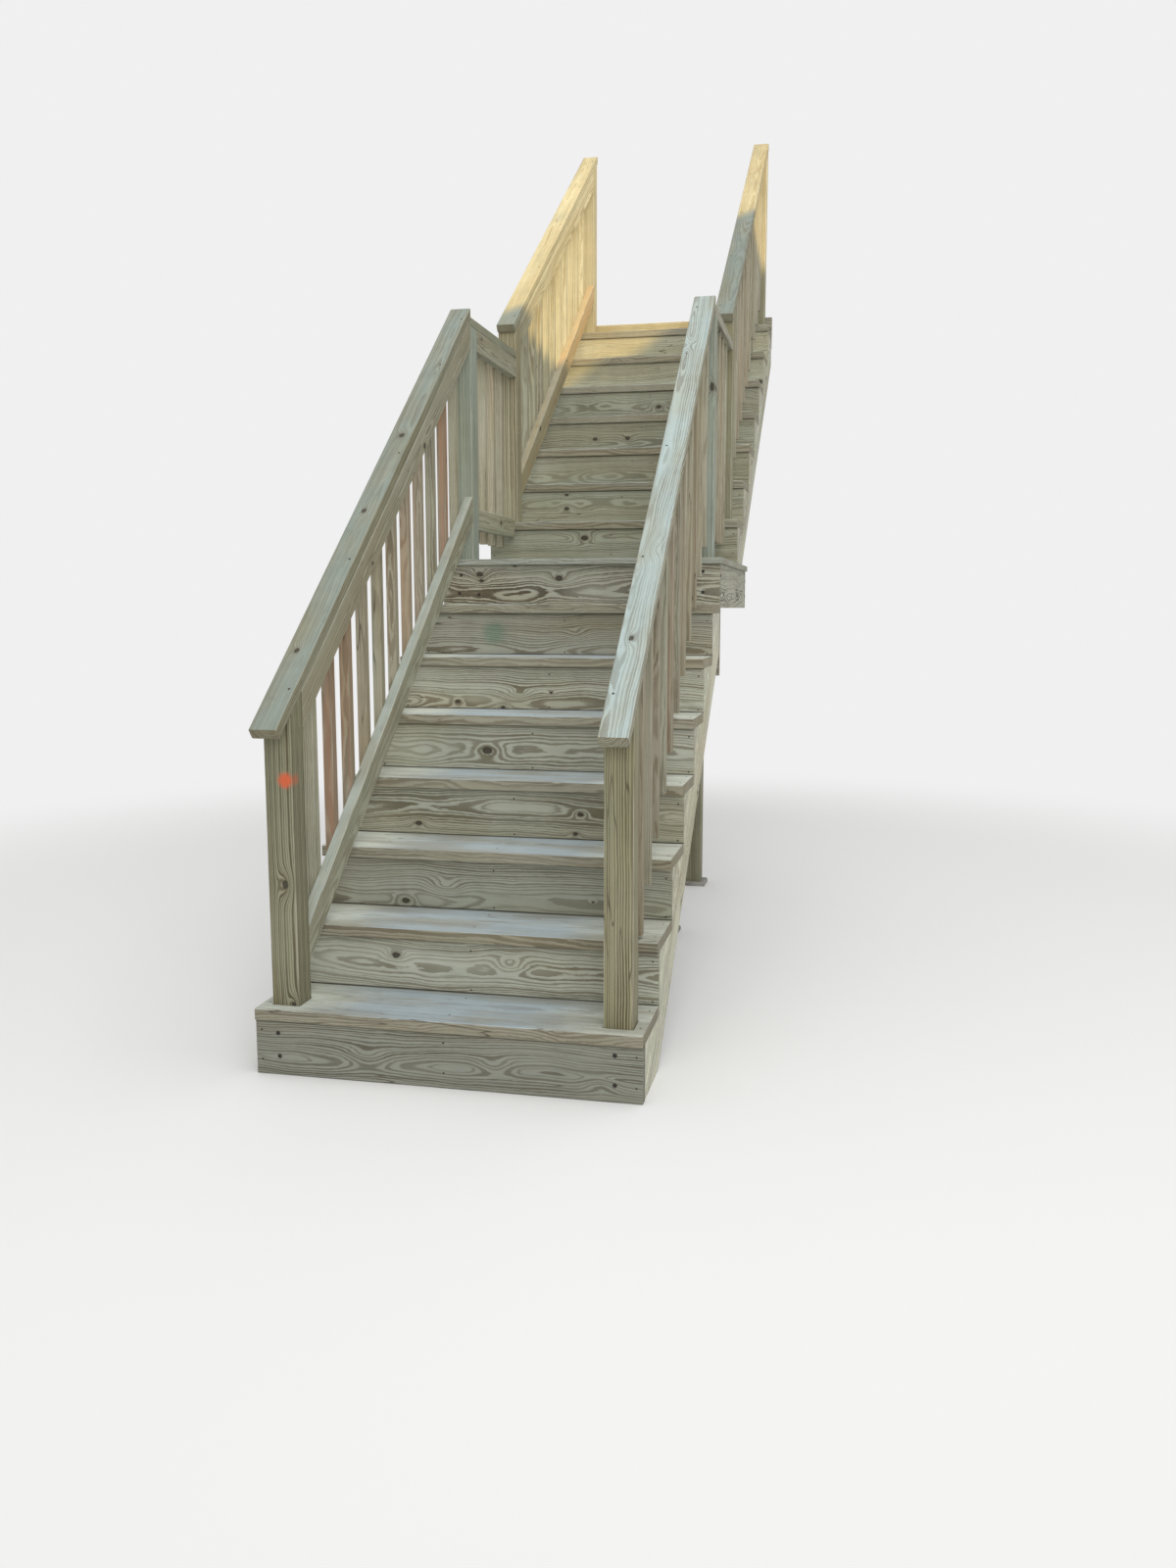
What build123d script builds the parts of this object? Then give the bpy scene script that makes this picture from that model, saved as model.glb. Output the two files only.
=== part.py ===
from build123d import *
import math
import os

# Wooden deck stairs: two straight flights of eight rises with a landing between them.
# Millimetres, +Z up, +Y up the stairs, X across them.
# Profiles are drawn on side planes: the first number is the distance behind the lowest
# nosing, the second the height above the ground.

# Lumber
board_2x = 38.0
post_size = 89.0
rail_depth = 89.0
tread_depth = 286.0
stringer_depth = 286.0
joist_depth = 184.0
hanger_depth = 286.0
riser_thickness = 19.0
deck_thickness = 25.0
deck_board_width = 140.0
baluster_size = 35.0
eased_edge = 4.0

# Steps
rise = 207.5
lower_first_rise = 210.5
tread_gap = 5.0
treads_per_flight = 7
tread_length = 1220.0
nosing = 26.0
upper_nosing = 10.0
nosing_radius = 5.0

# Landing
landing_depth = 1220.0
landing_walk = 758.0
deck_side_overhang = 10.0
deck_board_gap = 5.0
inner_joist_offset = 305.0
support_block_width = 140.0
support_block_height = 20.0

# Guards
foot_post_setback = 50.0
landing_rear_post_setback = 50.0
top_post_to_ledger = 20.0
landing_cap_height = 1029.0
lower_cap_above_landing_cap = 34.0
upper_cap_above_landing_cap = 142.0
lower_cap_height_foot = 951.0
upper_cap_height_top = 1098.5
lower_rail_height_foot = 235.0
lower_rail_height_landing = 273.0
upper_rail_clearance_foot = 32.0
upper_rail_clearance_top = 61.5
landing_rail_clearance = 135.0
lower_cap_overhang = 95.0
upper_cap_overhang = 33.0
upper_cap_end = 21.0
lower_baluster_start = 151.0
lower_baluster_pitch = 152.0
upper_baluster_count = 11
landing_baluster_count = 4
lower_baluster_tail = 25.0
landing_baluster_tail = 50.0
upper_baluster_tail = 5.0

# Top of the stairs
ledger_top_above_tread = 107.0
top_post_tail = 230.0

# Clearance
post_clearance = 2.0

# Derived levels, measured from the ground
lower_tread_top = [lower_first_rise + i * rise for i in range(treads_per_flight)]
landing_top = lower_first_rise + treads_per_flight * rise - (board_2x - deck_thickness)
upper_tread_top = [landing_top + (i + 1) * rise for i in range(treads_per_flight)]
frame_top = landing_top - deck_thickness
frame_bottom = frame_top - joist_depth
landing_cap_top = landing_top + landing_cap_height

# Derived distances behind the lowest nosing
going = tread_depth + tread_gap - nosing
upper_going = tread_depth + tread_gap - upper_nosing
step_cut = nosing + riser_thickness
landing_front = treads_per_flight * going
landing_rear = landing_front + landing_depth
rim_front = landing_front + nosing
rim_back = rim_front + board_2x
rear_rim_front = landing_rear - board_2x
upper_start = landing_front + landing_walk - upper_nosing
upper_cut = upper_start + upper_nosing + riser_thickness
top_cut = upper_cut + treads_per_flight * upper_going
last_nosing = upper_start + (treads_per_flight - 1) * upper_going
foot_post_back = foot_post_setback + post_size
front_post_back = rim_back + post_size
rear_post_front = upper_start + landing_rear_post_setback
rear_post_back = rear_post_front + post_size
top_post_back = top_cut - top_post_to_ledger
top_post_front = top_post_back - post_size
ledger_back = top_cut + board_2x

# Derived places across the stairs
outer_face = tread_length / 2
post_outer = outer_face - board_2x
post_inner = post_outer - post_size
deck_width = tread_length + 2 * deck_side_overhang

# The origin lies on the ground, midway between the lowest cap's end and the ledger's back
front_end = foot_post_setback - lower_cap_overhang
origin_y = (front_end + ledger_back) / 2

os.makedirs("parts", exist_ok=True)


def side_plane(x):
    """Vertical plane at x: local axes are distance behind the lowest nosing and height."""
    return Plane(origin=(x, -origin_y, 0), x_dir=(0, 1, 0), z_dir=(1, 0, 0))


def save(part, name):
    part.label = name
    export_step(part, f"parts/{name}.step")


def box_between(x_range, y_range, z_range):
    """Square-cut timber between two side faces, standing on one side plane."""
    with BuildPart() as timber:
        with BuildSketch(side_plane(x_range[0])):
            with Locations(((y_range[0] + y_range[1]) / 2, (z_range[0] + z_range[1]) / 2)):
                Rectangle(y_range[1] - y_range[0], z_range[1] - z_range[0])
        extrude(amount=x_range[1] - x_range[0])
    return timber.part


def stringer(x_left, run, foot_level, first_top, first_cut, end_cut):
    """Sawtooth stringer: riser cuts and tread cuts on top, one straight lower edge."""
    slope = rise / run
    drop = stringer_depth * math.hypot(1, slope)
    tooth_z = first_top - board_2x
    foot_y = first_cut + (drop - (tooth_z - foot_level)) / slope
    end_z = tooth_z - drop + slope * (end_cut - first_cut)
    with BuildPart() as board:
        with BuildSketch(side_plane(x_left)):
            with BuildLine():
                points = [(foot_y, foot_level), (first_cut, foot_level)]
                for i in range(treads_per_flight):
                    cut_y = first_cut + i * run
                    cut_z = tooth_z + i * rise
                    next_y = cut_y + run if i < treads_per_flight - 1 else end_cut
                    points += [(cut_y, cut_z), (next_y, cut_z)]
                points.append((end_cut, end_z))
                Polyline(*points, close=True)
            make_face()
        extrude(amount=board_2x)
    return board.part


def tread(start, top, post_front=None):
    """Tread plank with a rounded nosing, cut out round a pair of posts where they pass."""
    with BuildPart() as plank:
        with BuildSketch(side_plane(-outer_face)):
            with Locations((start + tread_depth / 2, top - board_2x / 2)):
                Rectangle(tread_depth, board_2x)
        extrude(amount=tread_length)
        fillet(plank.edges().filter_by(Axis.X).group_by(Axis.Y)[0], radius=nosing_radius)
        if post_front is not None:
            cut = post_size + 2 * post_clearance
            with BuildSketch(Plane.XY.offset(top)):
                with Locations(
                    (-(post_inner + post_size / 2), post_front + post_size / 2 - origin_y),
                    (post_inner + post_size / 2, post_front + post_size / 2 - origin_y),
                ):
                    Rectangle(cut, cut)
            extrude(amount=-board_2x, mode=Mode.SUBTRACT)
    return plank.part


# Lower flight
middle = -board_2x / 2
for side, x_left in (("left", -outer_face), ("middle", middle), ("right", post_outer)):
    save(
        stringer(x_left, going, 0, lower_tread_top[0], step_cut, rim_front),
        f"lower_stringer_{side}",
    )
    save(
        stringer(x_left, upper_going, landing_top, upper_tread_top[0], upper_cut, top_cut),
        f"upper_stringer_{side}",
    )

for i, top in enumerate(lower_tread_top):
    passing = foot_post_setback if i == 0 else None
    save(tread(i * going, top, passing), f"lower_tread_{i + 1}")

# Upper flight: its lowest tread goes round the landing's rear posts, its highest round the
# top posts
upper_passing = {0: rear_post_front, treads_per_flight - 1: top_post_front}
for i, top in enumerate(upper_tread_top):
    passing = upper_passing.get(i)
    save(tread(upper_start + i * upper_going, top, passing), f"upper_tread_{i + 1}")


def risers(run, foot_level, first_top, first_cut, first_thickness):
    """Riser boards on the stringers' riser cuts, each up to the underside of its tread."""
    with BuildPart() as boards:
        for i in range(treads_per_flight):
            cut_y = first_cut + i * run
            thickness = first_thickness if i == 0 else riser_thickness
            high = first_top - board_2x + i * rise
            low = foot_level if i == 0 else high - rise
            with BuildSketch(side_plane(-outer_face)):
                with Locations((cut_y - thickness / 2, (low + high) / 2)):
                    Rectangle(thickness, high - low)
            extrude(amount=tread_length)
    return boards.part


save(risers(going, 0, lower_tread_top[0], step_cut, board_2x), "lower_risers")
save(
    risers(upper_going, landing_top, upper_tread_top[0], upper_cut, riser_thickness),
    "upper_risers",
)

# Landing frame
across = (-outer_face, outer_face)
frame_z = (frame_bottom, frame_top)
save(box_between(across, (rim_front, rim_back), frame_z), "landing_front_rim")
save(box_between(across, (rear_rim_front, landing_rear), frame_z), "landing_rear_rim")
hanger_z = (frame_bottom - hanger_depth, frame_bottom)
save(box_between(across, (rim_front, rim_back), hanger_z), "stringer_hanger_board")

with BuildPart() as joists:
    for x_left in (
        -outer_face,
        -inner_joist_offset - board_2x / 2,
        middle,
        inner_joist_offset - board_2x / 2,
        post_outer,
    ):
        with BuildSketch(side_plane(x_left)):
            with Locations(((rim_back + rear_rim_front) / 2, (frame_bottom + frame_top) / 2)):
                Rectangle(rear_rim_front - rim_back, joist_depth)
        extrude(amount=board_2x)
save(joists.part, "landing_joists")

# Landing decking, notched round the four guard posts
with BuildPart() as decking:
    y = landing_front
    while y < landing_rear - 1:
        end = min(y + deck_board_width, landing_rear)
        with BuildSketch(side_plane(-deck_width / 2)):
            with Locations(((y + end) / 2, landing_top - deck_thickness / 2)):
                Rectangle(end - y, deck_thickness)
        extrude(amount=deck_width)
        y = end + deck_board_gap
    fillet(decking.edges().filter_by(Axis.X).group_by(Axis.Z)[-1], radius=eased_edge)
    with BuildSketch(Plane.XY.offset(landing_top)):
        for post_front in (rim_back, rear_post_front):
            for side in (-1, 1):
                with Locations(
                    (side * (post_inner + post_size / 2), post_front + post_size / 2 - origin_y)
                ):
                    Rectangle(post_size + 2 * post_clearance, post_size + 2 * post_clearance)
    extrude(amount=-deck_thickness, mode=Mode.SUBTRACT)
save(decking.part, "landing_decking")

# Support posts beside the inner joists, on concrete blocks
support_x = inner_joist_offset + board_2x / 2 + post_size / 2
support_y = (rim_back + post_size / 2, rear_rim_front - post_size / 2)
support_places = [(side * support_x, y - origin_y) for side in (-1, 1) for y in support_y]
with BuildPart() as supports:
    with BuildSketch(Plane.XY.offset(support_block_height)):
        with Locations(*support_places):
            Rectangle(post_size, post_size)
    extrude(amount=frame_top - support_block_height)
save(supports.part, "support_posts")

with BuildPart() as blocks:
    with BuildSketch():
        with Locations(*support_places):
            Rectangle(support_block_width, support_block_width)
    extrude(amount=support_block_height)
    chamfer(blocks.edges().group_by(Axis.Z)[-1], length=6)
save(blocks.part, "support_blocks")

# Ledger at the top
ledger_top = upper_tread_top[-1] + ledger_top_above_tread
save(
    box_between(across, (top_cut, ledger_back), (ledger_top - joist_depth, ledger_top)),
    "ledger_board",
)


# Guard lines: height of a sloping edge over any distance behind the lowest nosing
def line_through(y0, z0, y1, z1):
    slope = (z1 - z0) / (y1 - y0)
    return lambda y: z0 + slope * (y - y0)


lower_cap_line = line_through(
    foot_post_setback,
    lower_tread_top[0] + lower_cap_height_foot,
    rim_back,
    landing_cap_top + lower_cap_above_landing_cap,
)
lower_rail_line = line_through(
    foot_post_back,
    lower_tread_top[0] + lower_rail_height_foot,
    rim_back,
    landing_top + lower_rail_height_landing,
)
upper_cap_line = line_through(
    rear_post_front,
    landing_cap_top + upper_cap_above_landing_cap,
    top_post_back,
    upper_tread_top[-1] + upper_cap_height_top,
)
upper_nosing_line = line_through(
    upper_start, upper_tread_top[0], last_nosing, upper_tread_top[-1]
)
upper_rail_under = line_through(
    rear_post_back,
    upper_nosing_line(rear_post_back) + upper_rail_clearance_foot,
    top_post_front,
    upper_nosing_line(top_post_front) + upper_rail_clearance_top,
)
landing_cap_line = line_through(
    rim_back, landing_cap_top, rear_post_front, landing_cap_top
)
landing_rail_line = line_through(
    rim_back,
    landing_top + landing_rail_clearance + rail_depth,
    rear_post_front,
    landing_top + landing_rail_clearance + rail_depth,
)


def plumb_height(line, depth):
    """Vertical height of a board of this depth that lies along a sloping line."""
    return depth * math.hypot(1, line(1) - line(0))


def lowered(line, depth):
    """The line along the underside of a board whose top follows the given line."""
    drop = plumb_height(line, depth)
    return lambda y: line(y) - drop


def raised(line, depth):
    """The line along the top of a board whose underside follows the given line."""
    lift = plumb_height(line, depth)
    return lambda y: line(y) + lift


# Guard posts, their tops cut to the slope of the cap that they carry
def post_pair(front, bottom, top_line):
    with BuildPart() as posts:
        for x_left in (-post_outer, post_inner):
            with BuildSketch(side_plane(x_left)):
                with BuildLine():
                    Polyline(
                        (front, bottom),
                        (front + post_size, bottom),
                        (front + post_size, top_line(front + post_size)),
                        (front, top_line(front)),
                        close=True,
                    )
                make_face()
            extrude(amount=post_size)
    return posts.part


lower_cap_under = lowered(lower_cap_line, board_2x)
upper_cap_under = lowered(upper_cap_line, board_2x)
landing_cap_under = lowered(landing_cap_line, board_2x)
upper_rail_line = raised(upper_rail_under, rail_depth)
save(post_pair(foot_post_setback, 0, lower_cap_under), "foot_posts")
save(post_pair(rim_back, frame_bottom, landing_cap_under), "landing_front_posts")
save(post_pair(rear_post_front, frame_bottom, upper_cap_under), "landing_rear_posts")
top_post_bottom = upper_tread_top[-1] - board_2x - top_post_tail
save(post_pair(top_post_front, top_post_bottom, upper_cap_under), "top_posts")


# Guard panels: two rails on edge with balusters on their outer faces. Each rail is given by
# the line of its top edge and the distance at which it ends.
def guard_panel(side, start, top_rail, bottom_rail, baluster_starts, tail):
    rail_x = post_inner if side > 0 else -post_inner - board_2x
    baluster_x = post_inner + board_2x if side > 0 else -post_inner - board_2x - baluster_size
    cap_under = top_rail[0]
    rail_under = lowered(bottom_rail[0], rail_depth)
    with BuildPart() as panel:
        for upper, end in (top_rail, bottom_rail):
            lower = lowered(upper, rail_depth)
            with BuildSketch(side_plane(rail_x)):
                with BuildLine():
                    Polyline(
                        (start, lower(start)),
                        (end, lower(end)),
                        (end, upper(end)),
                        (start, upper(start)),
                        close=True,
                    )
                make_face()
            extrude(amount=board_2x)
        with BuildSketch(side_plane(baluster_x)):
            for y in baluster_starts:
                low = rail_under(y) - tail
                high = cap_under(y)
                with Locations((y + baluster_size / 2, (low + high) / 2)):
                    Rectangle(baluster_size, high - low)
        extrude(amount=baluster_size)
    return panel.part


def even_starts(start, end, count):
    gap = (end - start - count * baluster_size) / (count + 1)
    return [start + gap + i * (gap + baluster_size) for i in range(count)]


first_lower_baluster = foot_post_back + lower_baluster_start
room_for_balusters = rim_back - baluster_size - first_lower_baluster
lower_baluster_count = int(room_for_balusters // lower_baluster_pitch) + 1
lower_starts = [
    first_lower_baluster + i * lower_baluster_pitch for i in range(lower_baluster_count)
]
upper_starts = even_starts(rear_post_back, top_post_front, upper_baluster_count)
landing_starts = even_starts(front_post_back, rear_post_front, landing_baluster_count)


# Caps: boards laid flat on the posts and top rails
def sloped_cap(side, line, start, end, square_start=True):
    """Cap along a sloping line, its lower end cut square and its upper end plumb."""
    x_left = post_inner if side > 0 else -post_outer
    drop = plumb_height(line, board_2x)
    slope = line(1) - line(0)
    length = math.hypot(1, slope)
    with BuildPart() as cap:
        with BuildSketch(side_plane(x_left)):
            with BuildLine():
                if square_start:
                    foot = (start + board_2x * slope / length, line(start) - board_2x / length)
                else:
                    foot = (start, line(start) - drop)
                Polyline(
                    (start, line(start)),
                    foot,
                    (end, line(end) - drop),
                    (end, line(end)),
                    close=True,
                )
            make_face()
        extrude(amount=post_size)
        long_edges = cap.edges().group_by(SortBy.LENGTH)[-1]
        top_edges = long_edges.sort_by(Axis.Z)[-2:]
        fillet(top_edges, radius=eased_edge)
    return cap.part


for name, side in (("left", -1), ("right", 1)):
    save(
        guard_panel(
            side,
            foot_post_back,
            (lower_cap_under, rim_back),
            (lower_rail_line, rim_back),
            lower_starts,
            lower_baluster_tail,
        ),
        f"lower_guard_panel_{name}",
    )
    save(
        guard_panel(
            side,
            front_post_back,
            (landing_cap_under, rear_post_front),
            (landing_rail_line, upper_start),
            landing_starts,
            landing_baluster_tail,
        ),
        f"landing_guard_panel_{name}",
    )
    save(
        guard_panel(
            side,
            rear_post_back,
            (upper_cap_under, top_post_front),
            (upper_rail_line, top_post_front),
            upper_starts,
            upper_baluster_tail,
        ),
        f"upper_guard_panel_{name}",
    )
    save(sloped_cap(side, lower_cap_line, front_end, rim_back), f"lower_cap_{name}")
    save(
        sloped_cap(side, landing_cap_line, rim_back, rear_post_front, False),
        f"landing_cap_{name}",
    )
    save(
        sloped_cap(
            side,
            upper_cap_line,
            rear_post_front - upper_cap_overhang,
            top_post_back + upper_cap_end,
        ),
        f"upper_cap_{name}",
    )
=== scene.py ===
import math
import random

import bmesh
import bpy
from mathutils import Matrix, Vector


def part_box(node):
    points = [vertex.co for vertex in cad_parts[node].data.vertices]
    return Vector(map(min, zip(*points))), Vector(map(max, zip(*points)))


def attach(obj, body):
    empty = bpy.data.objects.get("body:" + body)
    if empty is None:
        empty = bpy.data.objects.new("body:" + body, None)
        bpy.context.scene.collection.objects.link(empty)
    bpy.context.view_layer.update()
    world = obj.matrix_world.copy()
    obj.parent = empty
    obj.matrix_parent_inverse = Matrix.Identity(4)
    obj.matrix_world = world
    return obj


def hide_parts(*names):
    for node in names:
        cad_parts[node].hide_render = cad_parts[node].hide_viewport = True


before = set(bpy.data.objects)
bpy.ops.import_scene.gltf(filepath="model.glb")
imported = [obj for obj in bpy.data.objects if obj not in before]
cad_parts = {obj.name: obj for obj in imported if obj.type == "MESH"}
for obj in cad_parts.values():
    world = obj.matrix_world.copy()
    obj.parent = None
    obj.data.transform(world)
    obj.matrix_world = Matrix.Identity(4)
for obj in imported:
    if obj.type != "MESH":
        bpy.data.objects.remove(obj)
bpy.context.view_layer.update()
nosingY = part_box("lower_tread_1")[0][1]    # the lowest nosing; guard numbers below count from it
lumberSizes = {"twoBy": 0.038, "rise": 0.2075}
print("frame loaded,", len(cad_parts), "nodes")


def paint(red, green, blue):
    # screen colour to linear
    return tuple(((c / 255 + 0.055) / 1.055) ** 2.4 for c in (red, green, blue)) + (1.0,)


# Node helpers

def addNode(tree, kind, **settings):
    node = tree.nodes.new(kind)
    for key, value in settings.items():
        setattr(node, key, value)
    return node


def feed(tree, socket, value):
    if isinstance(value, bpy.types.NodeSocket):
        tree.links.new(value, socket)
    else:
        socket.default_value = value


def feedRow(tree, node, *values):
    for socket, value in zip(node.inputs, values):
        feed(tree, socket, value)
    return node


def feedNamed(tree, node, values):
    for name, value in values.items():
        feed(tree, node.inputs[name], value)


def calc(tree, operation, *values, clamp=False):
    node = addNode(tree, "ShaderNodeMath", operation=operation, use_clamp=clamp)
    return feedRow(tree, node, *values).outputs[0]


def arithmetic(tree):
    # plus, minus, times and over
    def operator(operation):
        return lambda first, second: calc(tree, operation, first, second)

    return [operator(operation) for operation in ("ADD", "SUBTRACT", "MULTIPLY", "DIVIDE")]


def distance(tree, x, y):
    squares = [calc(tree, "MULTIPLY", value, value) for value in (x, y)]
    return calc(tree, "SQRT", calc(tree, "ADD", *squares))


def sway(tree, noise, amount):
    # noise between 0 and 1 as a push either way
    return calc(tree, "MULTIPLY", calc(tree, "SUBTRACT", noise, 0.5), amount)


def vectorCalc(tree, operation, *values):
    return feedRow(tree, addNode(tree, "ShaderNodeVectorMath", operation=operation), *values)


def rise01(tree, value, low, high, start=0.0, end=1.0):
    # smooth step from start to end while value goes from low to high
    node = addNode(tree, "ShaderNodeMapRange", interpolation_type="SMOOTHSTEP")
    return feedRow(tree, node, value, low, high, start, end).outputs[0]


def fall(tree, value, low, high):
    return rise01(tree, value, low, high, 1.0, 0.0)


def blendColour(tree, amount, first, second, mode="MIX"):
    node = addNode(tree, "ShaderNodeMix", data_type="RGBA", blend_type=mode)
    for index, item in ((0, amount), (6, first), (7, second)):
        feed(tree, node.inputs[index], item)
    return node.outputs[2]


def split(tree, vector):
    return feedRow(tree, addNode(tree, "ShaderNodeSeparateXYZ"), vector).outputs


def join(tree, *values):
    return feedRow(tree, addNode(tree, "ShaderNodeCombineXYZ"), *values).outputs[0]


def cloud(tree, vector, stretch, detail=2.0, roughness=0.5, output="Fac"):
    # noise, with its waves a metre along, across and, if they differ there, through
    node = addNode(tree, "ShaderNodeTexNoise", noise_dimensions="3D")
    place = vectorCalc(tree, "MULTIPLY", vector, (stretch[0], stretch[1], stretch[-1])).outputs[0]
    feedNamed(tree, node, {"Scale": 1.0, "Detail": detail, "Roughness": roughness, "Vector": place})
    return node.outputs[output]


def attribute(tree, name, output):
    return addNode(tree, "ShaderNodeAttribute", attribute_name=name).outputs[output]


def objectPlace(tree):
    return addNode(tree, "ShaderNodeTexCoord").outputs["Object"]


def addRelief(tree, shader, height, strength, depth):
    bump = addNode(tree, "ShaderNodeBump")
    feedNamed(tree, bump, {"Strength": strength, "Distance": depth, "Height": height})
    feed(tree, shader.inputs["Normal"], bump.outputs["Normal"])


def newMaterial(name):
    material = bpy.data.materials.new(name)
    material.use_nodes = True
    return material, material.node_tree, material.node_tree.nodes["Principled BSDF"]


def newGroup(name, inputs, outputs):
    tree = bpy.data.node_groups.new(name, "ShaderNodeTree")
    for direction, sockets in (("INPUT", inputs), ("OUTPUT", outputs)):
        for kind, names in sockets.items():
            for socket in names:
                tree.interface.new_socket(name=socket, in_out=direction, socket_type="NodeSocket" + kind)
    return tree, addNode(tree, "NodeGroupInput").outputs, addNode(tree, "NodeGroupOutput")


# Object helpers

def savedMesh(bm, name):
    mesh = bpy.data.meshes.new(name)
    bm.to_mesh(mesh)
    bm.free()
    return mesh


def addObject(name, data):
    thing = bpy.data.objects.new(name, data)
    bpy.context.scene.collection.objects.link(thing)
    return thing


# Knots, in radii: how far the rings swell round one, less so much for a buried one, and its core
knotShape = {
    "smallest": 0.0005, "real": 0.001, "swellLength": (4.6, 1.0), "swellWidth": (2.3, 0.6),
    "push": (2.2, 0.7), "coreLength": 1.3, "coreWidth": 0.9, "wobble": 1.1,
    "core": (0.65, 1.15), "rimIn": (0.5, 0.9), "rimOut": (0.95, 1.5), "halo": (0.35, 1.0),
}


def knotParts(tree, dx, dy, radius, wobble):
    # how far a knot pushes the rings out, and the masks of its core, rim and halo
    plus, minus, times, over = arithmetic(tree)
    k = knotShape
    size = calc(tree, "MAXIMUM", calc(tree, "ABSOLUTE", radius), k["smallest"])
    buried = calc(tree, "LESS_THAN", radius, 0.0)

    def reaching(name):
        usual, less = k[name]
        return times(size, minus(usual, times(buried, less)))

    ax, ay = over(dx, reaching("swellLength")), over(dy, reaching("swellWidth"))
    far = plus(times(ax, ax), times(ay, ay))
    swell = calc(tree, "EXPONENT", times(far, -1.0))
    push = times(swell, reaching("push"))
    cx, cy = over(dx, times(size, k["coreLength"])), over(dy, times(size, k["coreWidth"]))
    reach = plus(distance(tree, cx, cy), sway(tree, wobble, k["wobble"]))
    real = calc(tree, "GREATER_THAN", radius, k["real"])
    core = times(fall(tree, reach, *k["core"]), real)
    band = times(rise01(tree, reach, *k["rimIn"]), fall(tree, reach, *k["rimOut"]))
    rim = times(band, real)
    halo = times(rise01(tree, swell, *k["halo"]), real)
    return push, core, rim, halo, reach


# What each board's mesh carries, in the order of the grain's vectors
boardVectors = ("place", "pith", "tone", "seam", "knotA", "knotB", "knotC", "mark", "markPaint")
grainInputs = {
    "Vector": ("Place", "Pith", "Tone", "Seam", "Knot A", "Knot B", "Knot C"),
    "Float": (
        "Cut", "Eased", "Weathering And Sheen", "Ring Width", "Waviness", "Knottiness", "Contrast", "Greenness",
        "Edge Wear And Highlight",
    ),
    "Color": ("Pale Wood", "Dark Wood", "Green Tint", "Red Tint", "Weathered Sheen Wood", "Edge Wood"),
}
grainOutputs = {"Color": ("Colour",), "Float": ("Roughness", "Height")}

# Noises of the grain: waves a metre, then detail and roughness
grainNoises = {
    "wander": ((2.3, 3.5), 2.0, 0.45), "wobble": ((170.0, 170.0), 2.0, 0.6),
    "ripple": ((9.0, 60.0), 2.0), "torn": ((34.0, 300.0), 2.0, 0.6),
    "uneven": ((0.45, 40.0, 1.0), 1.0), "strength": ((2.1, 9.0), 2.0),
    "fibre": ((7.0, 260.0), 3.0, 0.6), "streak": ((1.4, 60.0), 2.0),
    "chatter": ((16.0, 1.5), 1.0), "blotch": ((2.4, 7.0), 3.0),
    "heart": ((0.9, 5.0), 2.0), "patch": ((2.6, 11.0), 3.0, 0.55),
    "scuff": ((11.0, 26.0), 4.0, 0.65), "speck": ((120.0, 190.0), 1.0),
    "crack": ((1.6, 34.0), 1.0), "checked": ((1.1, 5.0), 1.0),
    "pores": ((900.0, 900.0), 2.0), "worn": ((5.0, 5.0), 2.0),
}

# Where some of them count: low, high and, where they aren't 0 and 1, the values there
grainMasks = {
    "strength": (0.25, 0.7, 0.5, 1.0), "blotch": (0.42, 0.75), "heart": (0.42, 0.66, 0.0, 0.55),
    "patch": (0.32, 0.62, 0.35, 1.0), "scuff": (0.6, 0.72), "speck": (0.74, 0.8),
    "checked": (0.6, 0.66), "pores": (0.35, 0.65), "worn": (0.4, 0.65, 0.05, 0.4),
}
grainPaints = {
    "heart": (236, 226, 206), "dirt": (88, 82, 72), "check": (70, 60, 46), "seam": (46, 41, 32),
    "halo": (108, 95, 73), "knotPale": (84, 77, 62), "knotDark": (44, 40, 34), "rim": (44, 40, 33),
    "sawn": (196, 188, 170),
}
grainLook = {
    "apart": (37.0, 23.0, 11.0), "scatterAlong": 1.9, "scatterAcross": 7.0, "largestKnot": 0.015,
    "ripple": 0.0056, "torn": 0.003, "calm": 50.0, "narrowest": 0.62, "widening": 0.55,
    "lateStart": 0.16, "lateSpread": 0.4, "lateRise": 0.26, "lateEnd": (0.91, 1.0),
    "fibreShare": 0.3, "streakShare": 0.26, "chatterShare": 0.16, "base": 0.64,
    "footSeamShade": (0.001, 0.0042), "headSeamShade": (0.001, 0.006), "crack": (0.002, 0.012), "knotRings": 3.3,
}


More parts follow.
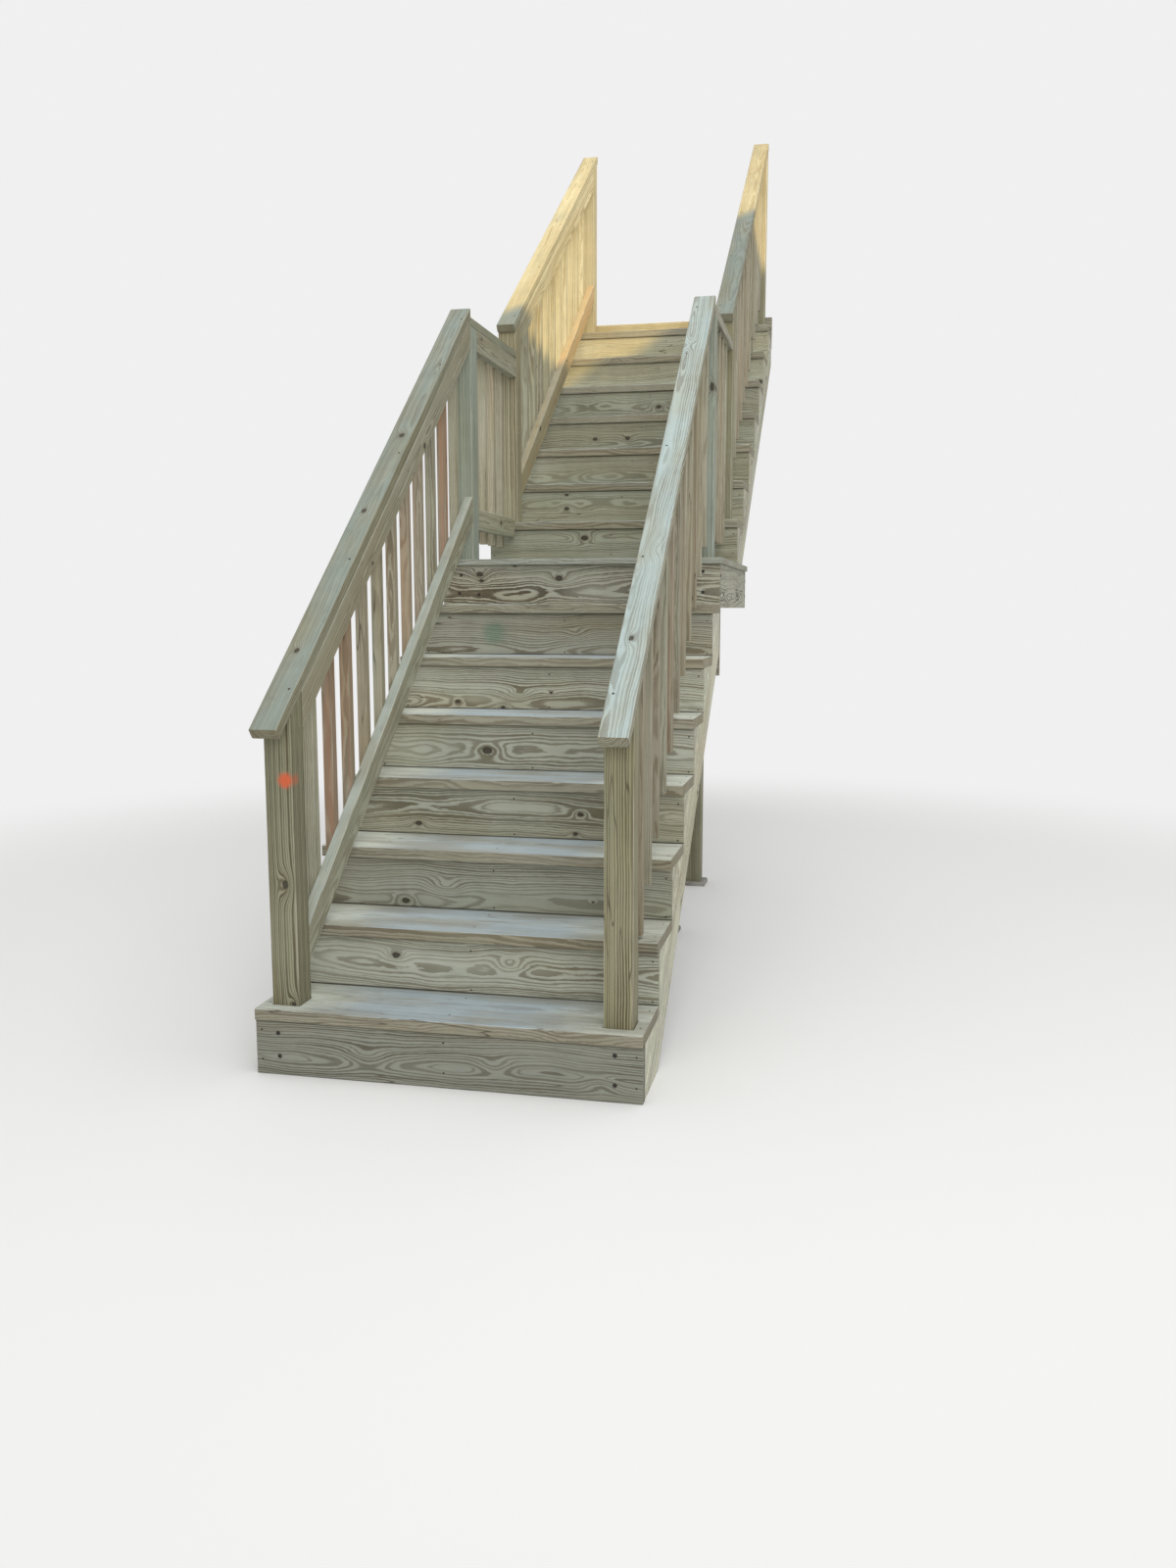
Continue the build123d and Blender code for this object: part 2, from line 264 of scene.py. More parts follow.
def buildPineGrain():
    tree, given, made = newGroup("pineGrain", grainInputs, grainOutputs)
    plus, minus, times, over = arithmetic(tree)
    look = grainLook
    seed, light, warm = split(tree, given["Tone"])
    along, across, through = split(tree, given["Place"])
    shift = vectorCalc(tree, "MULTIPLY", join(tree, seed, seed, seed), look["apart"]).outputs[0]
    place = vectorCalc(tree, "ADD", given["Place"], shift).outputs[0]

    def noise(name, vector=place, output="Fac"):
        return cloud(tree, vector, *grainNoises[name], output=output)

    def mask(name):
        return rise01(tree, noise(name), *grainMasks[name])

    def cover(amount, second):
        return blendColour(tree, amount, colour, paint(*grainPaints[second]))

    # Growth rings: distance from a pith line that leans and wanders
    pithAcross, pithThrough, lean = split(tree, given["Pith"])
    wander = split(tree, noise("wander", output="Color"))
    swing = times(given["Waviness"], 2.0)
    y = plus(minus(across, pithAcross), sway(tree, wander[0], swing))
    z = plus(minus(through, pithThrough), times(along, lean))
    z = plus(z, sway(tree, wander[1], swing))
    reach = distance(tree, y, z)

    # Knots: three placed ones and a scatter
    wobble = noise("wobble")
    cores, rims, halos, rings = [], [], [], []

    def addKnot(dx, dy, radius):
        push, core, rim, halo, ring = knotParts(tree, dx, dy, radius, wobble)
        cores.append(core)
        rims.append(rim)
        halos.append(halo)
        rings.append(times(ring, core))
        return plus(reach, push)

    for name in ("Knot A", "Knot B", "Knot C"):
        kx, ky, kr = split(tree, given[name])
        reach = addKnot(minus(along, kx), minus(across, ky), kr)
    sx = times(plus(along, times(seed, 31.0)), look["scatterAlong"])
    sy = times(plus(across, times(seed, 13.0)), look["scatterAcross"])
    scatter = addNode(tree, "ShaderNodeTexVoronoi", voronoi_dimensions="2D")
    feedNamed(tree, scatter, {"Scale": 1.0, "Vector": join(tree, sx, sy, 0.0)})
    px, py, _ = split(tree, scatter.outputs["Position"])
    luck = split(tree, scatter.outputs["Color"])[0]
    radius = rise01(tree, luck, minus(1.0, given["Knottiness"]), 1.05, 0.0, look["largestKnot"])
    dx = over(minus(sx, px), look["scatterAlong"])
    dy = over(minus(sy, py), look["scatterAcross"])
    reach = addKnot(dx, dy, radius)

    # Early and late wood, with torn edges and no two rings alike; straight-grained boards are calmer
    unrest = calc(tree, "MINIMUM", times(given["Waviness"], look["calm"]), 1.0)
    for name in ("ripple", "torn"):
        bend = sway(tree, noise(name), look[name])
        reach = plus(reach, times(bend, unrest))
    ownWidth = calc(tree, "FRACT", times(seed, 7.3))
    widening = plus(look["narrowest"], times(ownWidth, look["widening"]))
    phase = over(reach, times(given["Ring Width"], widening))
    uneven = noise("uneven", join(tree, phase, seed, 0.0))
    phase = plus(phase, times(uneven, 1.6))
    turn = calc(tree, "FRACT", phase)
    lottery = addNode(tree, "ShaderNodeTexWhiteNoise", noise_dimensions="2D")
    feedNamed(tree, lottery, {"Vector": join(tree, calc(tree, "FLOOR", phase), seed, 0.0)})
    ringLuck = lottery.outputs["Value"]
    start = plus(look["lateStart"], times(ringLuck, look["lateSpread"]))
    late = rise01(tree, turn, start, plus(start, look["lateRise"]))
    late = times(late, fall(tree, turn, *look["lateEnd"]))
    top = given["Weathering And Sheen"]
    strength = times(mask("strength"), minus(1.0, times(ringLuck, 0.35)))
    strength = times(strength, minus(1.0, times(top, 0.25)))
    late = times(times(late, strength), given["Contrast"])
    fibre = noise("fibre")
    streak = noise("streak")
    chatter = noise("chatter")

    colour = blendColour(tree, late, given["Pale Wood"], given["Dark Wood"])
    greenness = times(mask("blotch"), given["Greenness"])
    colour = blendColour(tree, greenness, colour, given["Green Tint"])
    redness = times(warm, rise01(tree, streak, 0.3, 0.7, 0.35, 1.0))
    colour = blendColour(tree, redness, colour, given["Red Tint"])
    heartwood = blendColour(tree, 1.0, colour, paint(*grainPaints["heart"]), "MULTIPLY")
    colour = blendColour(tree, mask("heart"), colour, heartwood)
    # Upward faces, in patches: partly real bleaching by the weather, partly a painted bluish sheen of the sky
    greyLate = blendColour(tree, 0.4, given["Dark Wood"], given["Weathered Sheen Wood"])
    bleachedAndSheen = blendColour(tree, times(late, 0.9), given["Weathered Sheen Wood"], greyLate)
    colour = blendColour(tree, times(top, mask("patch")), colour, bleachedAndSheen)
    grain = plus(times(fibre, look["fibreShare"]), times(streak, look["streakShare"]))
    grain = plus(grain, times(chatter, look["chatterShare"]))
    level = times(plus(grain, look["base"]), light)
    colour = blendColour(tree, 1.0, colour, join(tree, level, level, level), "MULTIPLY")

    # Scuffs and specks of dirt, mostly where people tread
    stain = calc(tree, "MAXIMUM", times(mask("scuff"), 0.22), times(mask("speck"), 0.55))
    dirt = times(plus(times(top, 0.8), 0.2), stain)
    colour = cover(dirt, "dirt")

    # Drying checks, thin dark lines along the grain
    crack = calc(tree, "ABSOLUTE", minus(noise("crack"), 0.5))
    check = times(fall(tree, crack, *look["crack"]), mask("checked"))
    colour = cover(times(check, 0.7), "check")

    # Knot cores, their dark rims and the browner wood round them
    def together(masks, clamp=True):
        return calc(tree, "ADD", plus(*masks[:2]), plus(*masks[2:]), clamp=clamp)

    core, rim, halo = together(cores), together(rims), together(halos)
    knotRing = calc(tree, "FRACT", times(together(rings, clamp=False), look["knotRings"]))
    knotWood = blendColour(tree, knotRing, paint(*grainPaints["knotPale"]), paint(*grainPaints["knotDark"]))
    colour = cover(times(halo, 0.38), "halo")
    colour = blendColour(tree, times(core, 0.92), colour, knotWood)
    colour = cover(times(rim, 0.8), "rim")

    # Painted shade in the seams where a riser meets the tread below it and the one above
    foot, head, _ = split(tree, given["Seam"])
    footSeamShade = fall(tree, calc(tree, "ABSOLUTE", foot), *look["footSeamShade"])
    seam = calc(tree, "MAXIMUM", footSeamShade, fall(tree, head, *look["headSeamShade"]))
    colour = cover(times(seam, rise01(tree, streak, 0.25, 0.6, 0.55, 0.95)), "seam")

    # Sawn ends show their pores, eased edges are a little paler: partly wear, partly a painted
    # highlight, stronger in the painted sunlight
    sawn = blendColour(tree, 1.0, colour, paint(*grainPaints["sawn"]), "MULTIPLY")
    endColour = blendColour(tree, mask("pores"), sawn, colour)
    endMask = rise01(tree, given["Cut"], 0.45, 0.85)
    colour = blendColour(tree, times(endMask, 0.8), colour, endColour)
    worn = times(times(given["Eased"], mask("worn")), given["Edge Wear And Highlight"])
    colour = blendColour(tree, worn, colour, given["Edge Wood"])

    roughness = plus(0.74, times(fibre, 0.16))
    height = plus(times(late, 0.3), times(fibre, 0.28))
    height = plus(height, times(rim, 0.25))
    feedNamed(tree, made, {
        "Colour": colour, "Roughness": minus(roughness, times(late, 0.14)),
        "Height": minus(height, times(check, 0.8)),
    })
    return tree


markInputs = {"Vector": ("Place", "Mark"), "Float": ("Strength",), "Color": ("Colour", "Paint")}


def buildSprayMark():
    # a soft-edged dab of marking paint on one face of a board
    tree, given, made = newGroup("sprayMark", markInputs, {"Color": ("Colour",)})
    plus, minus, times, over = arithmetic(tree)
    along, across, through = split(tree, given["Place"])
    mx, my, size = split(tree, given["Mark"])
    radius = calc(tree, "MAXIMUM", calc(tree, "ABSOLUTE", size), 0.0001)
    dx = over(minus(along, mx), radius)
    dy = over(minus(across, my), radius)
    mist = cloud(tree, given["Place"], (90.0, 160.0), 3.0, 0.65)
    far = plus(distance(tree, dx, dy), sway(tree, mist, 0.9))
    strength = times(fall(tree, far, 0.35, 1.1), given["Strength"])
    sameSide = calc(tree, "GREATER_THAN", times(through, calc(tree, "SIGN", size)), 0.0)
    marked = blendColour(tree, times(strength, sameSide), given["Colour"], given["Paint"])
    feedNamed(tree, made, {"Colour": marked})
    return tree


pineGrain = buildPineGrain()
sprayMark = buildSprayMark()

# What each kind of board looks like, apart from the usual look
lumberLooks = {
    "riser": {
        "pale": (172, 174, 160), "dark": (107, 101, 82), "ring": 0.007, "wave": 0.03, "knots": 0.2,
        "contrast": 1.0, "top": 0.0,
    },
    "tread": {
        "pale": (158, 155, 138), "dark": (112, 104, 86), "ring": 0.0064, "wave": 0.024, "knots": 0.2,
        "green": 0.14, "top": 0.97, "weatheredAndSheen": (174, 188, 194), "ends": (212, 218, 206),
        "tint": (160, 140, 112), "sunlit": 0.5,
    },
    "post": {
        "pale": (156, 154, 128), "dark": (92, 84, 60), "ring": 0.0066, "wave": 0.006, "contrast": 1.3,
        "top": 0.3,
    },
    "greenPost": {
        "pale": (157, 165, 153), "dark": (105, 110, 94), "ring": 0.0066, "wave": 0.008, "green": 0.3,
        "contrast": 1.1, "top": 0.3,
    },
    "rail": {
        "pale": (165, 164, 145), "dark": (114, 107, 86), "ring": 0.0052, "wave": 0.013, "knots": 0.16,
        "weatheredAndSheen": (176, 186, 178),
    },
    "sunnyRail": {
        "pale": (165, 164, 142), "dark": (114, 105, 82), "ring": 0.0052, "wave": 0.013, "knots": 0.12,
        "green": 0.06, "contrast": 0.9, "top": 0.3, "tint": (164, 140, 92),
    },
    "cap": {
        "pale": (170, 170, 152), "dark": (106, 98, 78), "ring": 0.0064, "wave": 0.03, "green": 0.18,
        "contrast": 1.25, "weatheredAndSheen": (177, 194, 193),
    },
    "shadedCap": {
        "pale": (158, 158, 138), "dark": (106, 100, 80), "ring": 0.0058, "wave": 0.018, "green": 0.3,
        "contrast": 1.0, "weatheredAndSheen": (142, 154, 147),
    },
    "deck": {"pale": (174, 180, 170), "dark": (128, 126, 112), "ring": 0.006, "wave": 0.02, "knots": 0.2},
    "frame": {
        "pale": (176, 176, 160), "dark": (80, 73, 60), "ring": 0.0074, "wave": 0.032, "knots": 0.22,
        "contrast": 1.2, "top": 0.3,
    },
    "upperRiser": {
        "pale": (176, 177, 158), "dark": (112, 106, 85), "ring": 0.0066, "wave": 0.028, "knots": 0.16,
        "green": 0.26, "contrast": 0.9, "top": 0.0, "sunlit": 0.9,
    },
}
usualLook = {
    "knots": 0.1, "green": 0.2, "contrast": 0.95, "top": 0.85, "greenTint": (138, 146, 122),
    "tint": (172, 128, 104), "edge": (196, 192, 174), "weatheredAndSheen": (170, 180, 178), "sunlit": 1.0,
}

# Painted sunlight on the upper end: honey-coloured wood with less greying by the weather; the grey gives way
# along a slope across, behind and up, from one level to another
sunlitWood = {
    "pale": (232, 216, 168), "dark": (190, 166, 114), "tint": (224, 160, 84), "edge": (250, 238, 196),
    "slope": (-0.709, 0.115, 1.0), "from": 3.265, "to": 3.385,
}


def lumberMaterial(kind):
    look = {**usualLook, **lumberLooks[kind]}
    material, tree, shader = newMaterial(kind + "Pine")
    plus, minus, times, _ = arithmetic(tree)
    spot = objectPlace(tree)
    # painted sunlight: above this slope the wood's colours turn honey and the greying fades
    climb = vectorCalc(tree, "DOT_PRODUCT", spot, sunlitWood["slope"]).outputs["Value"]
    sunlit = rise01(tree, climb, sunlitWood["from"], sunlitWood["to"], 0.0, look["sunlit"])
    # upward faces turn grey-blue: partly real greying by the weather, partly a painted sheen of the sky above
    upward = split(tree, addNode(tree, "ShaderNodeNewGeometry").outputs["True Normal"])[2]
    weatheredAndSheen = times(rise01(tree, upward, 0.35, 0.8), look["top"])
    weatheredSheenWood = paint(*look["weatheredAndSheen"])
    if "ends" in look:
        # paler and creamier towards both ends, where nobody steps and the painted sky sheen of the middle
        # gives way
        sideways = calc(tree, "ABSOLUTE", split(tree, spot)[0])
        uneven = times(cloud(tree, spot, (5.0, 9.0)), 0.24)
        unworn = rise01(tree, plus(sideways, uneven), 0.36, 0.62)
        weatheredSheenWood = blendColour(tree, unworn, weatheredSheenWood, paint(*look["ends"]))
    vectors = {name: attribute(tree, name, "Vector") for name in boardVectors}
    grain = addNode(tree, "ShaderNodeGroup", node_tree=pineGrain)
    feedNamed(tree, grain, dict(zip(grainInputs["Vector"], vectors.values())))
    shades = {"Pale Wood": "pale", "Dark Wood": "dark", "Red Tint": "tint", "Edge Wood": "edge"}
    for socket, shade in shades.items():
        colour = blendColour(tree, sunlit, paint(*look[shade]), paint(*sunlitWood[shade]))
        feed(tree, grain.inputs[socket], colour)
    feedNamed(tree, grain, {
        "Cut": attribute(tree, "cut", "Fac"), "Eased": attribute(tree, "eased", "Fac"),
        "Weathering And Sheen": times(weatheredAndSheen, minus(1.0, sunlit)), "Weathered Sheen Wood": weatheredSheenWood,
        "Ring Width": look["ring"], "Waviness": look["wave"], "Knottiness": look["knots"],
        "Contrast": look["contrast"], "Greenness": look["green"], "Green Tint": paint(*look["greenTint"]),
        # eased edges: wear and a painted highlight, stronger in the painted sunlight
        "Edge Wear And Highlight": plus(times(sunlit, 1.2), 1.0),
    })
    spray = addNode(tree, "ShaderNodeGroup", node_tree=sprayMark)
    feedNamed(tree, spray, {
        "Colour": grain.outputs["Colour"], "Place": vectors["place"], "Mark": vectors["mark"],
        "Paint": vectors["markPaint"], "Strength": attribute(tree, "markStrength", "Fac"),
    })
    addRelief(tree, shader, grain.outputs["Height"], 0.55, 0.0012)
    feedNamed(tree, shader, {
        "Base Color": spray.outputs["Colour"], "Roughness": grain.outputs["Roughness"],
        "Specular IOR Level": 0.35,
    })
    return material


lumber = {kind: lumberMaterial(kind) for kind in lumberLooks}
print("timber materials ready")

# How each kind of board was cut from the log: where the pith can be, its lean and how red it can be
logCuts = {
    "riser": {"across": (-0.05, 0.05), "through": (0.028, 0.06), "lean": 0.02, "warm": (0.0, 0.1)},
    "tread": {"across": (-0.07, 0.07), "through": (0.045, 0.08), "lean": 0.016, "warm": (0.0, 0.06)},
    "post": {"across": (0.07, 0.13), "through": (0.04, 0.08), "lean": 0.004, "warm": (0.0, 0.1)},
    "rail": {"across": (-0.03, 0.03), "through": (0.03, 0.07), "lean": 0.012, "warm": (0.0, 0.16)},
    "baluster": {"across": (-0.09, 0.09), "through": (0.04, 0.1), "lean": 0.008, "warm": (0.0, 0.3)},
    "cap": {"across": (-0.03, 0.03), "through": (0.03, 0.065), "lean": 0.014, "warm": (0.0, 0.05)},
    "deck": {"across": (-0.04, 0.04), "through": (0.035, 0.06), "lean": 0.016, "warm": (0.0, 0.08)},
    "frame": {"across": (-0.06, 0.06), "through": (0.03, 0.065), "lean": 0.018, "warm": (0.0, 0.1)},
}

# Knots seen on certain boards: x, distance behind the lowest nosing, z and the radius; a negative
# radius is one that lies below the face
seenKnots = {
    "lower_risers": (
        (-0.2492, 0.007, 0.0794, -0.02), (0.4845, 0.007, 0.0526, -0.014), (0.16, 0.007, 0.08, -0.016),
        (-0.2535, 0.291, 0.3209, 0.009), (0.1296, 0.291, 0.3114, -0.014),
        (-0.3159, 0.556, 0.4387, 0.009), (-0.1694, 0.556, 0.494, -0.016),
        (-0.3606, 0.821, 0.6634, 0.008), (0.243, 0.821, 0.7166, 0.007), (0.225, 0.821, 0.6456, 0.006),
        (-0.1772, 1.086, 0.9039, 0.013), (0.36, 1.086, 0.88, -0.012),
        (-0.3778, 1.351, 1.0676, 0.007), (-0.1902, 1.351, 1.0469, 0.006), (-0.121, 1.351, 1.1025, -0.013),
        (0.05, 1.616, 1.33, -0.014),
    ),
    "landing_front_rim": (
        (-0.4438, 1.881, 1.5863, 0.01), (-0.4352, 1.881, 1.558, 0.007), (-0.0864, 1.881, 1.5673, 0.011),
    ),
    "upper_risers": (
        (-0.1343, 2.613, 1.7781, 0.011), (-0.2875, 2.894, 2.0111, 0.006), (-0.2877, 2.894, 1.9426, 0.008),
        (-0.2574, 3.456, 2.359, 0.008), (-0.077, 3.456, 2.3591, 0.009), (0.0504, 3.737, 2.5634, 0.01),
    ),
    "landing_joists": ((0.61, 2.7471, 1.5599, -0.018),),
    "lower_cap_left": (
        (-0.5237, 1.1629, 2.0868, 0.009), (-0.5326, 0.7939, 1.7801, 0.008), (-0.5363, 0.2248, 1.3069, 0.007),
    ),
    "lower_cap_right": (
        (0.5049, 1.6096, 2.4582, -0.014), (0.5306, 0.6069, 1.6245, -0.016), (0.5206, 0.2765, 1.3498, 0.007),
    ),
    "lower_guard_panel_left": ((-0.483, 1.3045, 2.0635, 0.009), (-0.483, 0.7406, 1.5939, 0.006)),
    "landing_guard_panel_left": ((-0.483, 2.3631, 1.84, 0.008),),
    "upper_guard_panel_left": ((-0.483, 3.1257, 2.376, 0.009), (-0.483, 3.7445, 2.836, 0.005)),
    "lower_balusters_right": ((0.556, 1.5867, 2.2154, 0.007), (0.556, 1.4442, 1.7881, 0.006)),
    "foot_posts": ((-0.517, 0.05, 0.5953, 0.009), (-0.5017, 0.05, 0.2119, 0.007)),
}

# Dabs of marking paint: place as above, radius, colour and strength
seenMarks = {
    "foot_posts": ((-0.5051, 0.05, 0.9197, 0.03, (206, 96, 58), 0.95),),
    "lower_risers": ((-0.3037, 1.616, 1.336, 0.062, (92, 130, 110), 0.5),),
}

# Boards that are lighter or darker (times), or redder (0 to 1), than chance would have them; much of the
# lightness is painted light and shade: lighter for boards in sun, darker for boards in shade, and evened
# out where the lamps light some boards more than others
seenTonesAndLight = {
    "lower_tread_1": ((0.85, 0),),
    "lower_risers": ((0.62, 0), (1.14, 0), (0.88, 0), (1.08, 0), (1.14, 0.02), (1.26, 0.04), (0.95, 0.08)),
    "landing_front_rim": ((1.05, 0.06),),
    "upper_risers": ((0.9, 0), (1, 0), (0.93, 0), (0.85, 0), (0.8, 0), (1.05, 0), (1.15, 0)),
    "lower_cap_left": ((0.9, 0.03),),
    "lower_cap_right": ((0.93, 0),),
    "upper_cap_right": ((0.82, 0.05),),
    "upper_cap_left": ((1, 0),),
    "lower_balusters_left": (
        (1.08, 0), (0.86, 0.65), (0.95, 0.45), (1, 0.2), (1, 0.1), (1.05, 0.2),
        (1.05, 0.4), (1, 0.35), (0.95, 0.05), (0.98, 0.7), (1.1, 0),
    ),
    "lower_balusters_right": (
        (0.8, 0.25), (0.86, 0.1), (0.76, 0.2), (0.88, 0.05), (0.8, 0.3), (0.86, 0.1),
        (0.9, 0.15), (0.95, 0.1), (0.92, 0.2), (1, 0.1), (0.96, 0.1),
    ),
    "upper_balusters_left": (
        (1.12, 0.1), (1.05, 0), (1.2, 0), (1.12, 0.1), (1.25, 0), (1.15, 0),
        (1.3, 0), (1.18, 0.05), (1.28, 0), (1.15, 0), (1.25, 0),
    ),
    "support_posts": ((0.75, 0), (0.75, 0), (0.75, 0), (0.75, 0)),
    "upper_stringer_right": ((1.35, 0),),
    "landing_joists": ((1, 0), (1, 0), (1, 0), (1, 0), (1.05, 0)),
    "landing_front_posts": ((1.08, 0), (1, 0)),
    "landing_rear_posts": ((1.18, 0.12), (1, 0)),
    "landing_balusters_left": ((1.25, 0.15), (1.35, 0.1), (1.3, 0.16), (1.2, 0.12)),
    "lower_guard_panel_left": ((1.02, 0), (0.98, 0.03)),
    "lower_stringer_right": ((1.6, 0),),
    "upper_guard_panel_left": ((1.04, 0.55), (1.15, 0)),
    "foot_posts": ((0.82, 0), (0.96, 0)),
    "landing_guard_panel_left": ((1.2, 0), (1.05, 0)),
}

# Sizes of the finish: eased edges of each kind of board, sawn corners, and how sharp an edge is one
edgeSizes = {"usual": 0.003, "riser": 0.002, "baluster": 0.002, "walked": 0.004, "sawn": 0.0006, "sharp": 0.6}


def boardIslands(bm):
    left = set(bm.verts)
    while left:
        island, stack = set(), [left.pop()]
        while stack:
            vert = stack.pop()
            island.add(vert)
            for edge in vert.link_edges:
                other = edge.other_vert(vert)
                if other in left:
                    left.discard(other)
                    stack.append(other)
        yield island


def facingForward(axis):
    # the same line, pointing the way of its largest part
    return -axis if axis[max(range(3), key=lambda i: abs(axis[i]))] < 0 else axis


def largest(items, size, place):
    # of equally large ones, the same one in every run
    return max(items, key=lambda item: [round(value, 5) for value in (size(item), *place(item))])


def boardAxes(island):
    # along its longest edge; through it, square to its widest face, or front to back where it is square
    edges = {edge for vert in island for edge in vert.link_edges}
    longest = largest(edges, bmesh.types.BMEdge.calc_length, lambda edge: edge.verts[0].co + edge.verts[1].co)
    along = facingForward((longest.verts[1].co - longest.verts[0].co).normalized())
    faces = {face for vert in island for face in vert.link_faces}
    sides = [face for face in faces if abs(face.normal.dot(along)) < 0.1]
    widest = max(face.calc_area() for face in sides)
    wide = (face for face in sides if face.calc_area() > 0.9 * widest)
    through = largest(wide, lambda face: abs(face.normal.y), bmesh.types.BMFace.calc_center_median).normal
    through = facingForward((through - along * through.dot(along)).normalized())
    return along, through.cross(along), through, longest.calc_length()


def easeBoards(bm, ease):
    # round the long edges of every board, then take the sharpness off the rest
    eased = bm.faces.layers.float.new("eased")
    bm.edges.index_update()

    def isSharp(edge):
        return len(edge.link_faces) == 2 and edge.calc_face_angle() > edgeSizes["sharp"]

    def bevel(edges, offset, segments):
        return bmesh.ops.bevel(
            bm, geom=edges, offset=offset, segments=segments, profile=0.5,
            affect="EDGES", material=-1, clamp_overlap=True,
        )["faces"]

    longEdges = []
    for island in boardIslands(bm):
        along, _, _, length = boardAxes(island)
        for edge in {edge for vert in island for edge in vert.link_edges}:
            if isSharp(edge) and edge.calc_length() > 0.4 * length:
                if abs((edge.verts[1].co - edge.verts[0].co).normalized().dot(along)) > 0.99:
                    longEdges.append(edge)
    longEdges.sort(key=lambda edge: edge.index)
    for face in bevel(longEdges, ease, 3):
        face[eased] = 1.0
        face.smooth = True
    for face in bevel([edge for edge in bm.edges if isSharp(edge)], edgeSizes["sawn"], 1):
        face[eased] = 0.6
    bm.normal_update()


def markBoards(bm, name, cut):
    # each board keeps its own place in the log, its tone, its knots and its paint mark
    layers = {key: bm.verts.layers.float_vector.new(key) for key in boardVectors}
    strengthLayer = bm.verts.layers.float.new("markStrength")
    cutLayer = bm.faces.layers.float.new("cut")
    chance = random.Random(name)
    log = logCuts[cut]
    farAway = Vector((9.0, 9.0, 0.0))

    def corner(island):
        return tuple(round(min(vert.co[axis] for vert in island), 3) for axis in (2, 1, 0))

    for index, island in enumerate(sorted(boardIslands(bm), key=corner)):
        axes = boardAxes(island)[:3]
        along = axes[0]
        centre = Vector()
        halves = []
        for axis in axes:
            reaches = [vert.co.dot(axis) for vert in island]
            centre += axis * (min(reaches) + max(reaches)) / 2
            halves.append((max(reaches) - min(reaches)) / 2)
        pith = Vector((
            chance.uniform(*log["across"]),
            chance.choice((-1, 1)) * chance.uniform(*log["through"]),
            chance.choice((-1, 1)) * chance.uniform(0.4, 1.0) * log["lean"],
        ))
        tone = Vector((chance.uniform(0.05, 1.0), chance.uniform(0.93, 1.07), chance.uniform(*log["warm"])))
        # listed lightness and redness; much of the lightness is painted light and shade
        if index < len(seenTonesAndLight.get(name, ())):
            tone.yz = seenTonesAndLight[name][index]

        def onBoard(spot):
            offset = Vector((spot[0], spot[1] + nosingY, spot[2])) - centre
            reaches = [offset.dot(axis) for axis in axes]
            inside = all(abs(reach) < half + 0.008 for reach, half in zip(reaches, halves))
            return reaches if inside else None

        found = [knot for knot in seenKnots.get(name, ()) if onBoard(knot)]
        knots = [Vector((*onBoard(knot)[:2], knot[3])) for knot in found]
        knots = (knots + [farAway] * 3)[:3]
        marks = [mark for mark in seenMarks.get(name, ()) if onBoard(mark)]
        mark, markPaint, strength = Vector((9.0, 9.0, 0.001)), Vector(), 0.0
        if marks:
            *_, size, colour, strength = marks[0]
            spot = onBoard(marks[0])
            mark = Vector((spot[0], spot[1], math.copysign(size, spot[2])))
            markPaint = Vector(paint(*colour)[:3])
        low, high = (pick(vert.co.z for vert in island) for pick in (min, max))
        # heights from the seams, for the painted shade along them
        treadSeam = low + (lumberSizes["twoBy"] if index else 0.0)
        for vert in island:
            seam = (vert.co.z - treadSeam, high - vert.co.z, 0.0) if cut == "riser" else (9.0, 9.0, 0.0)
            offset = vert.co - centre
            spot = Vector([offset.dot(axis) for axis in axes])
            for key, value in zip(boardVectors, (spot, pith, tone, Vector(seam), *knots, mark, markPaint)):
                vert[layers[key]] = value
            vert[strengthLayer] = strength
        for face in {face for vert in island for face in vert.link_faces}:
            face[cutLayer] = abs(face.normal.dot(along))


def finishPiece(bm, name, material, slotName, *nodes):
    piece = addObject(name, savedMesh(bm, name))
    piece.data.materials.append(material)
    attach(piece, "root")
    if nodes:
        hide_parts(*nodes)


def cadBoards(nodeName):
    # a clean copy of a frame node: corners joined, flat faces whole
    bm = bmesh.new()
    bm.from_mesh(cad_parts[nodeName].data)
    bmesh.ops.remove_doubles(bm, verts=bm.verts, dist=0.00002)
    bmesh.ops.dissolve_limit(
        bm, angle_limit=math.radians(2), use_dissolve_boundaries=False,
        verts=bm.verts, edges=bm.edges, delimit=set(),
    )
    return bm


def dressNode(nodeName, kind, slotName, ease="usual", look=None):
    parts = nodeName.split("_")
    pieceName = parts[0] + "".join(word.capitalize() for word in parts[1:]) + "Timber"
    bm = cadBoards(nodeName)
    easeBoards(bm, edgeSizes[ease])
    markBoards(bm, nodeName, kind)
    finishPiece(bm, pieceName, lumber[look or kind], slotName, nodeName)


postLooks = {
    "foot_posts": "post", "landing_front_posts": "greenPost", "landing_rear_posts": "post",
    "top_posts": "post", "support_posts": "post",
}
frameBoards = (
    "landing_front_rim", "landing_rear_rim", "landing_joists", "stringer_hanger_board", "ledger_board",
)

